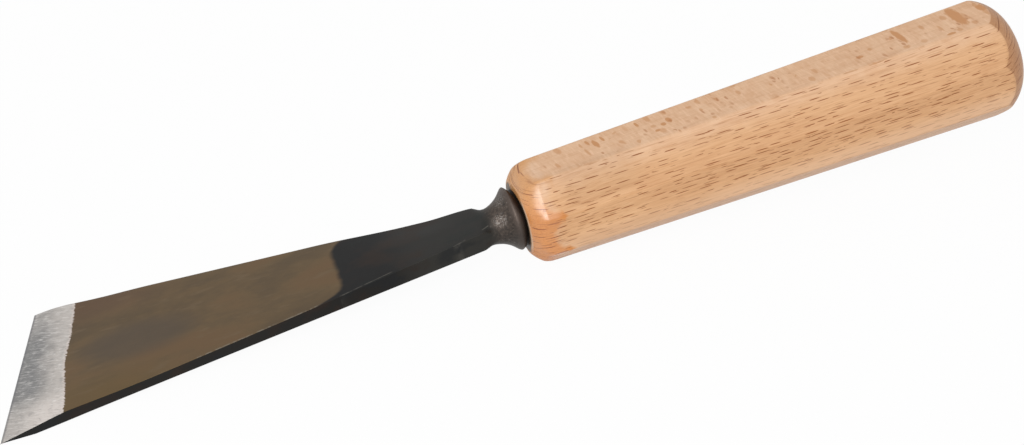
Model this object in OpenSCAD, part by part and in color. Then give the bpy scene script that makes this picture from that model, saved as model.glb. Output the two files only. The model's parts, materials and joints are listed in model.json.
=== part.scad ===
// Skew carving chisel: a forged fishtail blade with a bolster and tang,
// in an octagonal beech handle with an inner ferrule.
// The tool is drawn along the X axis, blade towards -X and butt towards +X,
// with x = 0 at the front end of the handle.
// It is then laid down as it lies on a bench, on a corner of its back near the long point
// and on the front of the handle.

/* [Handle] */
// Length of the handle, from its front end to the top of its crown
handle_len = 135.6; // [115:0.2:150]
// Distance across the flats at the front end
front_flats = 25; // [23:0.5:28]
// Distance across the flats at the butt
butt_flats = 29.4; // [27:0.2:33]
// Radius of the rounding at the front end
front_round = 10; // [8:0.5:11]
// Diameter of the flat end in front of that rounding
front_end_d = 19; // [18.8:0.1:20]
// Radius of the crown of the butt
crown_r = 29; // [26:1:40]
// Radius of the rounding between the crown and the flats
butt_round = 12; // [9:0.5:13]
// How far the turned ends reach outside the corners of the octagon
turned_over = 0.3; // [0.1:0.1:0.8]

/* [Ferrule] */
// Outer diameter of the ferrule
ferrule_d = 14.6; // [14.4:0.1:15.2]
// Wall thickness of the ferrule
ferrule_wall = 1; // [0.8:0.1:1.1]
// Length of the ferrule
ferrule_len = 9.8; // [6:0.1:14]
// How far the ferrule stands out of the wood
ferrule_proud = 0.8; // [0.4:0.1:1]
// Gap all round between the ferrule and its groove
ferrule_gap = 0.05; // [0.02:0.01:0.15]

/* [Bolster] */
// Diameter of the rim
rim_d = 15.8; // [14.8:0.2:17]
// Chamfer on the back edge of the rim
rim_chamfer = 0.5; // [0.1:0.1:0.5]
// Smallest diameter of the waist in front of the rim
waist_d = 9.3; // [8:0.1:10.4]
// Radius of the hollow that flares from the waist to the rim
waist_round = 6; // [5.5:0.25:6.25]
// Distance of the waist in front of the handle
waist_at = 7.6; // [7.5:0.1:9]
// Distance in front of the handle of the nose that blends the waist into the blade
nose_at = 15.4; // [13.4:0.5:19.4]

/* [Blade] */
// Distance of the long point in front of the handle
blade_len = 137; // [110:0.2:160]
// Width of the blade across its flanks at the long point
blade_w = 47.2; // [30:0.2:56]
// Angle of the cutting edge from square
skew = 20; // [10:1:30]
// Distance of the neck in front of the handle
neck_at = 7.4; // [6.4:0.5:9.4]
// Width of the neck
neck_w = 10.2; // [9:0.2:13]
// Thickness of the neck
neck_t = 5.8; // [4.6:0.1:7]
// Thickness of the blade at the cutting end, before it is ground
blade_t = 2.45; // [1.8:0.05:3.4]
// Hollow of the upper face along its length
face_hollow = 0.8; // [0.3:0.1:1]
// Depth of the back below the axis, at the neck
back_drop = 2.4; // [2:0.1:3]
// Angle at which the back rises towards the cutting edge
back_rise = 2.5; // [1:0.1:3]
// Length of the bevel, square to the cutting edge
bevel_len = 11.5; // [8:0.5:16]
// Length of the bevel on the back, square to the cutting edge
back_bevel_len = 7.5; // [4:0.5:10]
// Height of the cutting edge above the back
edge_height = 1.15; // [0.6:0.05:1.4]

/* [Tang] */
// Length of the tang inside the handle
tang_len = 75; // [50:1:90]
// Width of the square tang at the bolster
tang_root = 8; // [7:0.2:8.4]
// Width of the square tang at its end
tang_tip = 3.5; // [2.5:0.1:5]
// Gap between the tang and its socket, on each side
socket_gap = 0.1; // [0.05:0.01:0.2]
// Depth of the socket beyond the end of the tang
socket_spare = 3; // [1:0.5:8]

/* [Hidden] */
$fn = 96;
steel_dark = [0.30, 0.26, 0.21];
steel_ring = [0.24, 0.23, 0.21];
beech = [0.88, 0.70, 0.53];

// Handle: corner radii of the octagon and the arcs of its turned butt
sides = 8;
corner = cos(180 / sides);
front_r = front_flats / 2 / corner + turned_over;
butt_r = butt_flats / 2 / corner + turned_over;
front_ring = front_r - front_round;
front_reach = sqrt(pow(front_round, 2) - pow(front_end_d / 2 - front_ring, 2));
shoulder_r = butt_r - butt_round;
shoulder_x = handle_len - crown_r + sqrt(pow(crown_r - butt_round, 2) - pow(shoulder_r, 2));
function half_flats(x) = (front_flats + (butt_flats - front_flats) * x / handle_len) / 2;

// Ferrule and bolster: planes along the axis
ferrule_bore = ferrule_d - 2 * ferrule_wall;
waist_ring = waist_d / 2 + waist_round;
rim_front = waist_at - sqrt(pow(waist_round, 2) - pow(waist_ring - rim_d / 2, 2));
rim_middle = (rim_front + ferrule_proud) / 2;
cone_base = (waist_at + rim_front) / 2;

// Blade: drawn with its back on z = 0 and x = 0 at the neck
reach = (blade_len - neck_at) / cos(back_rise);
flank = (blade_w - neck_w) / 2 / reach;
flank_skew = flank * tan(skew);
heel_y = blade_w / 2 * (1 - flank_skew) / (1 + flank_skew);
heel_x = -reach + (heel_y + blade_w / 2) * tan(skew);
root = neck_at - rim_middle;
root_w = neck_w - 2 * flank * root;
bevel_angle = atan((blade_t - edge_height) / bevel_len);
back_bevel_angle = atan(edge_height / back_bevel_len);
// a share of the way from the neck to the cutting end, on the parabola of the upper face
function face_point(share) = [
    -reach * share,
    neck_t + (blade_t - neck_t) * share - 4 * face_hollow * share * (1 - share)
];
face_steps = 10;
function on_axis(p) = [
    p.x * cos(back_rise) + p.z * sin(back_rise) - neck_at,
    p.y,
    p.z * cos(back_rise) - p.x * sin(back_rise) - back_drop
];

// Rest: the blade touches the bench at its long point or where its back bevel starts
touch_run = back_bevel_len / (cos(skew) - flank * sin(skew));
touch = on_axis([touch_run - reach, flank * touch_run - blade_w / 2, 0]);
point = on_axis([-reach, -blade_w / 2, edge_height]);
// the handle touches it where the lower flat comes out of the front rounding
function flat_front(x) = front_reach - sqrt(pow(front_round, 2) - pow(half_flats(x) - front_ring, 2));
rest_x = flat_front(flat_front(0));
function lie_on(p) = atan((p.z + half_flats(rest_x)) / (rest_x - p.x));
lie_angle = min(lie_on(point), lie_on(touch));
low_x = point.x * cos(lie_angle) - point.z * sin(lie_angle);
high_x = (handle_len - crown_r) * cos(lie_angle) + crown_r;
low_z = rest_x * sin(lie_angle) - half_flats(rest_x) * cos(lie_angle);
middle_y = (heel_y - blade_w / 2) / 2;

// Lays the tool on the bench, centred over the origin
module at_rest() {
    translate([-(low_x + high_x) / 2, -middle_y, -low_z])
        rotate([0, -lie_angle, 0])
            children();
}

// Stands a profile drawn as [radius, x] on the tool's axis
module turned() {
    rotate([0, 90, 0])
        rotate_extrude()
            children();
}

// Carries an outline drawn as [x, z] across the tool
module across(width) {
    rotate([90, 0, 0])
        linear_extrude(height = width, center = true)
            children();
}

// Square taper along the axis, from one width at x0 to another at x1
module square_taper(x0, width0, x1, width1) {
    outline = [[x0, -width0 / 2], [x1, -width1 / 2], [x1, width1 / 2], [x0, width0 / 2]];
    intersection_for(turn = [0, 90])
        rotate([turn, 0, 0])
            across(2 * max(width0, width1))
                polygon(outline);
}

// Width of the tang, and of the socket that continues its taper, at a distance along the axis
function tang_at(x) = tang_root + (tang_tip - tang_root) * (x + ferrule_proud) / (tang_len + ferrule_proud);

// Half-space above a plane that rises from the cutting edge at the given angle
module above_edge(angle) {
    block = 2 * blade_len;
    translate([-reach, -blade_w / 2, edge_height])
        rotate([0, -angle, -skew])
            translate([-block / 2, -block / 2, 0])
                cube(block);
}

// Half-space under a plane that falls from the cutting edge towards the back
module below_edge(angle) {
    block = 2 * blade_len;
    translate([-reach, -blade_w / 2, edge_height])
        rotate([0, angle, -skew])
            translate([-block / 2, -block / 2, -block])
                cube(block);
}

// Fishtail plate with its taper in thickness, hollow upper face and both bevels
module blade_plate() {
    root_t = neck_t + (neck_t - blade_t) * root / reach;
    upper_face = [for (i = [0:face_steps]) face_point(i / face_steps)];
    difference() {
        intersection() {
            linear_extrude(height = 2 * neck_t)
                polygon([
                    [root, root_w / 2],
                    [heel_x, heel_y],
                    [-reach, -blade_w / 2],
                    [root, -root_w / 2]
                ]);
            across(2 * blade_w)
                polygon(concat([[-reach, 0], [root, 0], [root, root_t]], upper_face));
        }
        above_edge(bevel_angle);
        below_edge(back_bevel_angle);
    }
}

// Forged blade with its waist, bolster and tang
module blade() {
    color(steel_dark) {
        difference() {
            union() {
                translate([-neck_at, 0, -back_drop])
                    rotate([0, back_rise, 0])
                        blade_plate();
                turned()
                    polygon([
                        [0, -ferrule_proud],
                        [rim_d / 2 - rim_chamfer, -ferrule_proud],
                        [rim_d / 2, -ferrule_proud - rim_chamfer],
                        [rim_d / 2, -cone_base],
                        [0, -nose_at]
                    ]);
            }
            turned()
                translate([waist_ring, -waist_at])
                    circle(r = waist_round);
        }
        square_taper(-rim_middle, tang_at(-rim_middle), tang_len, tang_tip);
    }
}

// Steel ring in the front end of the handle
module ferrule() {
    color(steel_ring)
        turned()
            translate([ferrule_bore / 2, -ferrule_proud])
                square([ferrule_wall, ferrule_len]);
}

// Profile of the handle's turned ends
module handle_ends() {
    // rounded front
    intersection() {
        union() {
            square([front_ring, handle_len]);
            translate([0, front_reach])
                square([butt_r, handle_len - front_reach]);
            translate([front_ring, front_reach])
                circle(r = front_round);
        }
        // crowned butt with its rounding
        union() {
            square([butt_r, shoulder_x]);
            intersection() {
                square([butt_r, handle_len]);
                translate([0, handle_len - crown_r])
                    circle(r = crown_r);
                union() {
                    square([shoulder_r, handle_len]);
                    translate([shoulder_r, shoulder_x])
                        circle(r = butt_round);
                }
            }
        }
    }
}

// Octagonal handle with its socket and the groove for the ferrule
module handle() {
    flats = [
        [0, -half_flats(0)],
        [handle_len, -half_flats(handle_len)],
        [handle_len, half_flats(handle_len)],
        [0, half_flats(0)]
    ];
    socket_end = tang_len + socket_spare;
    socket_front_w = tang_at(-rim_middle) + 2 * socket_gap;
    socket_end_w = tang_at(socket_end) + 2 * socket_gap;
    color(beech)
        difference() {
            intersection() {
                intersection_for(side = [1:sides / 2])
                    rotate([side * 360 / sides, 0, 0])
                        across(2 * butt_r)
                            polygon(flats);
                turned()
                    handle_ends();
            }
            square_taper(-rim_middle, socket_front_w, socket_end, socket_end_w);
            turned()
                translate([ferrule_bore / 2 - ferrule_gap, -ferrule_proud])
                    square([ferrule_wall + 2 * ferrule_gap, ferrule_len]);
        }
}

at_rest() blade();
at_rest() ferrule();
at_rest() handle();
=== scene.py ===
"""Skew fishtail carving chisel: the visible pieces and finishes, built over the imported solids.

Lengths are metres. Shapes are worked out in the tool's own frame: x = 0 at the front end of the handle,
X along the axis towards the butt, Y across the blade and Z upwards. The finishes use the same frame in
millimetres.
"""

import json
import math

import bpy
import numpy as np
from bpy.props import FloatProperty, FloatVectorProperty, PointerProperty
from mathutils import Matrix, Vector


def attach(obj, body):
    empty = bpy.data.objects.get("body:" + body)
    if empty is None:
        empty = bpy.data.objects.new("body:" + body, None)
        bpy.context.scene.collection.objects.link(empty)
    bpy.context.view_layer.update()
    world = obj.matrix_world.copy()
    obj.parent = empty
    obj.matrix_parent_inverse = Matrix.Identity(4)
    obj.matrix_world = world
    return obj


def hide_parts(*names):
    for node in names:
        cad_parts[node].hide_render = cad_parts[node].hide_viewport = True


bl_info = {
    "name": "Skew Carving Chisel",
    "version": (1, 0, 0),
    "blender": (4, 5, 0),
    "location": "View3D > Sidebar > Chisel",
    "description": "Builds a skew carving chisel with a beech handle over its packed solids",
    "category": "Add Mesh",
}

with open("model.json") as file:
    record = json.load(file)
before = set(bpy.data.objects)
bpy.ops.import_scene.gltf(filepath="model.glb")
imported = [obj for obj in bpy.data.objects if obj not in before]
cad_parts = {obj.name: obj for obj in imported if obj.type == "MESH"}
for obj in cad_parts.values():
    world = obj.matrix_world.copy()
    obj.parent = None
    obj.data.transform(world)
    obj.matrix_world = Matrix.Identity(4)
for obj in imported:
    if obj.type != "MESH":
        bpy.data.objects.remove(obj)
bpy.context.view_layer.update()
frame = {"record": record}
MM = 0.001
EIGHTH = math.pi / 8

# Counts of rings and points in the meshes. The starts, crowds and the power say how some of them are spread
CROWN_RINGS = 14
CROWN_START = 0.03
BUTT_RINGS = 64
FLAT_RINGS = 48
FRONT_RINGS = 56
LIP_RINGS = 8
FACET_POINTS = 36
BEVEL_RINGS = 26
FACE_RINGS = 90
FACE_CROWD = 0.55
FACE_POWER = 0.6
SIDE_POINTS = 5
SIDE_START = 0.15
CORNER_POINTS = 4
TOP_POINTS = 65
TOP_CROWD = 1.35
BOLSTER_RINGS = 44
FERRULE_CORNER = 5
FERRULE_POINTS = 128
# edges that bend by more than this are shaded sharp
SHARP_ANGLE = math.radians(40)

# Ends of the wood: the front end's lip, how widely the turned ends blend into the flats, the share of that
# on the side turned away from the cut, and the places on the axis between which the two widths change over
LIP = 0.35 * MM
FRONT_BLEND = 1.2 * MM
FRONT_BLEND_LEAST = 0.55
BUTT_BLEND = 0.15 * MM
FRONT_BLEND_FROM = 6 * MM
FRONT_BLEND_TO = 12 * MM
# the front end is cut back on one side, given as an angle from Y towards Z: how far, and over what length
CUT_AT = math.radians(137)
CUT_BACK = 0.4 * MM
CUT_REACH = 7 * MM
# on that side the flats fall towards the front end: where that starts, how much further back higher up, how
# softly, its slope and radius, and the share of the corners that it takes off over a given length
FALL_FROM = 5.1 * MM
FALL_TURN = 0.8 * MM
FALL_SOFT = 0.5 * MM
FALL_SLOPE = 0.31
FALL_RADIUS = 45 * MM
FALL_ROUND = 0.5
FALL_LENGTH = 3.5 * MM

# The grind line, in mm: x = GRIND_AT + GRIND_TILT y + GRIND_BOW y y
# + GRIND_WAVE cos(2 pi (y - WAVE_START) / WAVE_LENGTH)
GRIND_AT = -116.2
GRIND_TILT = 0.2675
GRIND_BOW = 0.0018
GRIND_WAVE = 0.28
WAVE_START = 10
WAVE_LENGTH = 25
# the share of the plate's length that the bevel takes at first, and the rounds that find the grind line
GRIND_SHARE = 0.1
GRIND_ROUNDS = 5
# where the bevel on the back ends at y = 0, a point close behind the edge that the honed strip is measured
# from, both in mm, and the direction of the grinding marks, about square to the edge
BACK_GRIND_AT = -120.45
HONED_FROM = (-136.9, -23.6)
GRIND_ANGLE = math.radians(25)
# the plate: roundings at the bevel and on the flanks, half the thickness of the edge, the bow of the far
# flank, the face's fall towards both flanks, its lean across at the grind line and the share of the length
# where that ends, the belly of the bevel at its far end, and the pinch of the far flank close to the neck
BEVEL_ROUND = 0.05 * MM
FLANK_ROUND = 0.2 * MM
EDGE_HALF = 0.012 * MM
FAR_BOW = 0.5 * MM
FACE_FALL = 0.1 * MM
FACE_LEAN = 0.4 * MM
LEAN_END = 0.17
BELLY = 1.0
PINCH = 0.38 * MM
# shares of the plate's length over which the pinch comes and goes, the rounding grows and the face's fall
# sets in behind the grind line
PINCH_IN = (0.62, 0.82)
PINCH_OUT = (0.96, 0.86)
ROUNDING_IN = (0.09, 0.16)
FALL_IN = (0, 0.08)
# the shares of the half width over which the belly sets in, the share of the bevel that the edge takes, the
# least half thickness, and the largest share of that which is rounded
BELLY_IN = (-0.2, 1)
EDGE_SHARE = 0.02
LEAST_THICK = 1e-6
MOST_ROUND = 0.95
# between these places on the axis the plate turns into the round waist
PLATE_END = -10.9 * MM
ROUND_FROM = -6.9 * MM
# unevenness of the forging, as shares of its radius, and how the finer one drifts along the axis, per metre
FORGED_OVAL = 0.006
FORGED_LOBES = 0.005
FORGED_DRIFT = 400
# the rim: where it stands highest and its back is most worn, as an angle from Y towards Z, how high, how deep
# its back is worn at least and at most, and how widely its edge is rounded
WORN_AT = math.radians(52)
RIM_LIFT = 0.65 * MM
WORN_LEAST = 0.5 * MM
WORN_MOST = 1.8 * MM
RIM_BLEND = 1.2 * MM
# the rim's skirt reaches furthest back over the ferrule at this angle: its reach, its wall, the radius that
# it leaves clear, and the width of the face inside it
SKIRT_AT = math.radians(140)
SKIRT = 0.85 * MM
SKIRT_WALL = 0.05 * MM
SKIRT_CLEAR = 7.36 * MM
RIM_FACE = 1.2 * MM
# rounding of the tang's edges
TANG_ROUND = 0.3 * MM

# Places on the finishes, in mm. The first two are Y and Z of about the direction where the rim stands highest
HIGH_Y = 0.61
HIGH_Z = 0.79
# a flat lies this many times as far from the axis as its corners lie from its middle
CORNER_SLOPE = 1 + math.sqrt(2)
# how far flecks lean over the grain, and the largest ones of the upper flat: their middles along the lean
# and across, and their half sizes
FLECK_LEAN = 0.2
FLECKS = (
    (121.5, 1.1, 1.6, 5.0), (105.8, 1.2, 0.9, 3.8), (116.2, -5.0, 1.3, 0.5), (128.5, 1.2, 1.2, 1.8),
    (21.9, 2.9, 0.4, 1.2), (23.4, 1.4, 0.7, 1.8), (25.7, 2.4, 0.4, 1.2), (35.3, 3.2, 0.4, 1.1),
    (38.2, -2.0, 0.8, 0.5), (40.7, -0.3, 0.7, 0.8), (42.6, 0.6, 0.8, 1.3), (93.2, -1.4, 1.1, 0.6))
# where the black scale begins on the axis, and how its border bends forward on the near side and back on the
# far side, by the fifth power of y
DARK_FROM = -47.55
DARK_BEND = 3.4e-5
# painted highlights along the neck's near edge: start, end and half width of each stroke
NECK_EDGE_HIGHLIGHTS = (
    ((-19.1, -7.0), (-15.6, -5.9), 0.25), ((-49.6, -11.0), (-35.5, -8.5), 0.2),
    ((-10.6, -4.4), (-8.8, -3.6), 0.2))
# a painted highlight: the fine paler line along the near edge of the face, in the same way
FACE_EDGE_HIGHLIGHT = ((-87, -16.3), (-49.6, -10.98), 0.28)
# places on the bolster painted with highlights of bright glinting specks
BOLSTER_GLINT_PLACES = ((-3.8, 0.4, 6.3), (-5.4, -3.7, 3.7))
# colours of small marks, of painted highlights and of painted shadow and shade, with alpha
SCRATCH_PALE = (0.88, 0.85, 0.83, 1)
SCRATCH_DARK = (0.12, 0.12, 0.125, 1)
MOTTLE_PALE = (0.75, 0.73, 0.70, 1)
MOTTLE_DARK = (0.16, 0.16, 0.165, 1)
HONED_DARK = (0.15, 0.15, 0.16, 1)
FACE_HIGHLIGHT = (0.2, 0.172, 0.137, 1)
NECK_HIGHLIGHT = (0.13, 0.12, 0.105, 1)
BOLSTER_SPECK = (0.33, 0.30, 0.27, 1)
BOLSTER_GLINT = (0.5, 0.47, 0.44, 1)
END_PAINTED_SHADOW = (0.06, 0.045, 0.02, 1)
END_PAINTED_SHADE = (0.03, 0.022, 0.014, 1)
# colours that others are multiplied by, with alpha; several are painted shade and light
BOLSTER_LOW_SHADE = (0.8, 0.83, 0.85, 1)
RIM_BACK_SHADE = (0.3, 0.29, 0.3, 1)
SOFT_BAND = (0.86, 0.80, 0.74, 1)
LOWEST_PAINTED_SHADE = (0.94, 0.99, 1.08, 1)
SLANTING_PAINTED_SHADE = (0.91, 0.905, 0.895, 1)
NEAR_PAINTED_LIGHT = (1.045, 1.075, 1.1, 1)
NEAR_PAINTED_SHADE = (0.955, 0.945, 0.925, 1)
FRONT_LOW = (0.95, 0.67, 0.37, 1)
FRONT_HIGH = (0.92, 0.80, 0.60, 1)
BUTT_END = (0.745, 0.665, 0.62, 1)
# depths of the bumps of wood and forging and of the ferrule's tool marks, in metres
GRAIN_DEPTH = 0.00004
MARK_DEPTH = 0.00001
# sockets of a Mix node on colours
MIX_FACTOR, MIX_FIRST, MIX_SECOND, MIX_RESULT = 0, 6, 7, 2

# Stage: the floor's half width and how far it shows plain white, the size and place of the light above the
# near side, and the size of the other one, its direction, the line that its shorter sides lean along and its
# distance. Then the image's width in pixels, the sensor's in mm, and how near the camera sees
FLOOR_REACH = 3.0
FLOOR_WHITE = 0.96
KEY_SIZE = (1.35, 0.9)
KEY_PLACE = (-0.12, -0.87, 1.02)
SIDE_SIZE = (0.54, 0.30)
SIDE_TOWARDS = (-0.571, -0.568, 0.596)
SIDE_LEAN = (-0.09, 0.41, 0.34)
SIDE_AWAY = 1.6
IMAGE_WIDTH = 1024
SENSOR_WIDTH = 36
CLIP_START = 0.01


def tool_frame():
    """Origin and axes of the tool in the row frame, from the shoulder mount: its axis points at the blade."""
    mount = next(m for m in frame["record"]["mounts"] if m["name"] == "rack_shoulder")
    along = -Vector(mount["axis"]).normalized()
    across = Vector((0, 1, 0))
    return np.array(mount["pos_m"]), np.array([along, across, along.cross(across)])


TOOL_ORIGIN, TOOL_AXES = tool_frame()


def to_row(points):
    """Points of the tool frame in the row frame: the tool's origin plus each coordinate along its axis."""
    return TOOL_ORIGIN + points @ TOOL_AXES


# Settings that a user would change

def size(name, description, default):
    """A setting for a length in metres."""
    return FloatProperty(name=name, description=description, default=default, unit="LENGTH")


def slant(name, description, degrees):
    """A setting for an angle, whose default is given in degrees."""
    return FloatProperty(name=name, description=description, default=math.radians(degrees), unit="ROTATION")


def tone(name, description, default):
    """A setting for a colour."""
    return FloatVectorProperty(
        name=name, description=description, default=default, subtype="COLOR", min=0, max=1)


class ChiselHandleSettings(bpy.types.PropertyGroup):
    """Sizes and colours of the beech handle."""

    length: size("Length", "From the front end to the top of the crown", 0.1356)
    front_flats: size("Front Flats", "Distance across the flats at the front end", 0.025)
    butt_flats: size("Butt Flats", "Distance across the flats at the butt", 0.0294)
    front_round: size("Front Rounding", "Radius of the turned front end", 0.010)
    front_end: size("Front End", "Radius of the flat at the front end", 0.0095)
    butt_round: size("Butt Rounding", "Radius between the crown and the flats", 0.012)
    crown: size("Crown", "Radius of the crowned butt", 0.029)
    turned_over: size("Butt Over", "Turned radius of the butt beyond its corners", 0.0003)
    front_over: size("Front Over", "Turned radius of the front end beyond its corners", 0.00095)
    edge_round: size("Edge Rounding", "Sanded radius of the eight long edges", 0.0012)
    groove_outer: size("Groove Outside", "Outer radius of the ferrule's groove", 0.00735)
    groove_inner: size("Groove Inside", "Inner radius of the ferrule's groove", 0.00625)
    groove_depth: size("Groove Depth", "Depth of the ferrule's groove", 0.009)
    socket_mouth: size("Socket Mouth", "Width of the tang's socket at the front end", 0.00816)
    socket_end: size("Socket End", "Width of the tang's socket at its end", 0.00352)
    socket_depth: size("Socket Depth", "Depth of the tang's socket", 0.078)
    wood: tone("Beech", "Colour of the beech between its rays", (0.735, 0.425, 0.22))
    quartered: tone("Quartered Beech", "Colour of the faces that lie along the rays", (0.8, 0.526, 0.339))
    ray: tone("Rays", "Colour of the short dark rays", (0.29, 0.092, 0.02))
    fleck: tone("Flecks", "Colour of the flecks where the rays lie in the surface", (0.57, 0.265, 0.105))


class ChiselBladeSettings(bpy.types.PropertyGroup):
    """Sizes and colours of the forged blade."""

    length: size("Length", "From the handle to the long point", 0.1372)
    width: size("Width", "Across the flanks at the long point", 0.0472)
    skew: slant("Skew", "Angle of the cutting edge from square", 20)
    neck_at: size("Neck Place", "Distance of the neck in front of the handle", 0.0074)
    neck_width: size("Neck Width", "Width of the neck", 0.0102)
    neck_thick: size("Neck Thickness", "Thickness of the neck", 0.0058)
    thick: size("Thickness", "Thickness at the cutting end before grinding", 0.00245)
    hollow: size("Hollow", "Hollow of the upper face along its length", 0.0008)
    back_drop: size("Back Drop", "Depth of the back below the axis at the neck", 0.0024)
    back_rise: slant("Back Rise", "Angle of the back to the axis", 2.5)
    back_bevel: size("Back Bevel", "Length of the bevel on the back", 0.0075)
    edge_height: size("Edge Height", "Height of the cutting edge above the back", 0.00115)
    waist_at: size("Waist Place", "Distance of the waist in front of the handle", 0.0084)
    waist: size("Waist", "Smallest radius of the waist", 0.00465)
    flare: size("Flare", "Radius of the hollow from the waist to the rim", 0.00735)
    rim: size("Rim", "Radius of the bolster's rim", 0.008)
    rim_back: size("Rim Back", "Distance of the rim's back in front of the handle", 0.0008)
    tang_length: size("Tang Length", "Length of the tang inside the handle", 0.075)
    tang_root: size("Tang Root", "Width of the square tang at the bolster", 0.008)
    tang_tip: size("Tang Tip", "Width of the square tang at its end", 0.0035)
    bright: tone("Ground Steel", "Colour of the freshly ground bevel", (0.49, 0.455, 0.425))
    temper: tone("Temper Brown", "Colour of the tempered blade", (0.132, 0.093, 0.055))
    scale_black: tone("Forge Scale", "Colour of the black scale on neck and sides", (0.03, 0.029, 0.028))
    # painted reflection: the grey that the bevel is painted towards its edge in its middle
    reflected_grey: tone("Reflected Grey", "Colour of the bevel towards its edge", (0.225, 0.222, 0.22))
    bolster: tone("Bolster", "Colour of the worn bolster", (0.075, 0.062, 0.053))


class ChiselFerruleSettings(bpy.types.PropertyGroup):
    """Sizes and colour of the steel ferrule."""

    outside: size("Outside", "Outer radius", 0.0073)
    inside: size("Inside", "Inner radius", 0.0063)
    proud: size("Proud", "How far it stands out of the wood", 0.0008)
    depth: size("Depth", "How far it goes into the wood", 0.009)
    edge: size("Edge", "Radius of its edges", 0.00015)
    # painted shade: the ferrule's steel is painted near black for the shaded gap between the bolster and the
    # wood
    steel: tone("Ferrule Steel", "Colour of the dark turned steel", (0.008, 0.0065, 0.005))


class ChiselStageSettings(bpy.types.PropertyGroup):
    """Camera and light."""

    azimuth: slant("Azimuth", "Turn of the camera about the tool's Z", -10.74)
    elevation: slant("Elevation", "Height of the camera over the tool's axis", 37.18)
    roll: slant("Roll", "Turn of the camera about its own view", -12.40)
    place: FloatVectorProperty(
        name="Place", description="The camera's place in the tool's frame",
        default=(-0.105756, -0.546905, 0.421335), subtype="XYZ", unit="LENGTH")
    focal: FloatProperty(
        name="Focal Length", description="Focal length in pixels of the image", default=2800, subtype="PIXEL")
    key: FloatProperty(
        name="Key Light", description="Power of the large light above the near side", default=4.6,
        unit="POWER")
    side: FloatProperty(
        name="Side Light", description="Power of the small light from the blade's side", default=7.0,
        unit="POWER")
    room: FloatProperty(
        name="Room Light", description="Strength of the even light from all round", default=0.55, min=0)


# Shapes

def ease(value, low, high):
    """Smooth step from 0 at low to 1 at high."""
    share = np.clip((value - low) / (high - low), 0, 1)
    return share * share * (3 - 2 * share)


def facing(angle, at):
    """Square of the cosine of the angle from a given one, and 0 on the side turned away from it."""
    return np.maximum(np.cos(angle - at), 0) ** 2


def smooth_min(a, b, width):
    """The smaller of two values, with the corner between them rounded over the given width."""
    overlap = np.maximum(width - np.abs(a - b), 0) / width
    return np.minimum(a, b) - overlap * overlap * width / 4


def closed_rings(name, rings, start="fan"):
    """A mesh object over a grid of rings in the tool frame: each ring is joined to the next, and its last
    point to its first. The last ring closes in a fan to its middle. So does the first, or with start "edge"
    it closes in strips between its upper half and the mirrored lower half, or with "loop" the last ring is
    joined to the first. Faces turn outwards, by the sign of the enclosed volume."""
    count, around = rings.shape[:2]
    index = np.arange(count * around).reshape(count, around)
    beside = np.roll(index, -1, axis=1)
    quads = np.stack([index[:-1], beside[:-1], beside[1:], index[1:]], -1).reshape(-1, 4)
    points = rings.reshape(-1, 3)
    fans = np.empty((0, 3), int)
    if start == "loop":
        quads = np.concatenate([quads, np.stack([index[-1], beside[-1], beside[0], index[0]], -1)])
    else:
        fans = np.stack([index[-1], beside[-1], np.full(around, len(points))], -1)
        points = np.concatenate([points, rings[-1:].mean(axis=1)])
    if start == "edge":
        step = np.arange(around // 2 - 1)
        quads = np.concatenate([quads, np.stack([step + 1, step, around - 1 - step, around - 2 - step], -1)])
    if start == "fan":
        fans = np.concatenate([fans, np.stack([beside[0], index[0], np.full(around, len(points))], -1)])
        points = np.concatenate([points, rings[:1].mean(axis=1)])
    a, b, c = points[np.concatenate([quads[:, [0, 1, 2]], quads[:, [0, 2, 3]], fans])].transpose(1, 0, 2)
    if np.einsum("ij,ij->", a, np.cross(b, c)) < 0:
        quads, fans = quads[:, ::-1], fans[:, ::-1]
    mesh = bpy.data.meshes.new(name)
    mesh.from_pydata(to_row(points), [], quads.tolist() + fans.tolist())
    mesh.shade_smooth()
    mesh.set_sharp_from_angle(angle=SHARP_ANGLE)
    piece = bpy.data.objects.new(name, mesh)
    bpy.context.scene.collection.objects.link(piece)
    return piece


def front_arc(s):
    """The turned front end: the radius where it meets the flats, the radius of its arc's middle, the angle
    where the arc starts at the flat end, and the arc's reach along the axis."""
    front_r = s.front_flats / 2 / math.cos(EIGHTH) + s.front_over
    front_ring = front_r - s.front_round
    front_rise = math.asin((s.front_end - front_ring) / s.front_round)
    return front_r, front_ring, front_rise, s.front_round * math.cos(front_rise)


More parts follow.
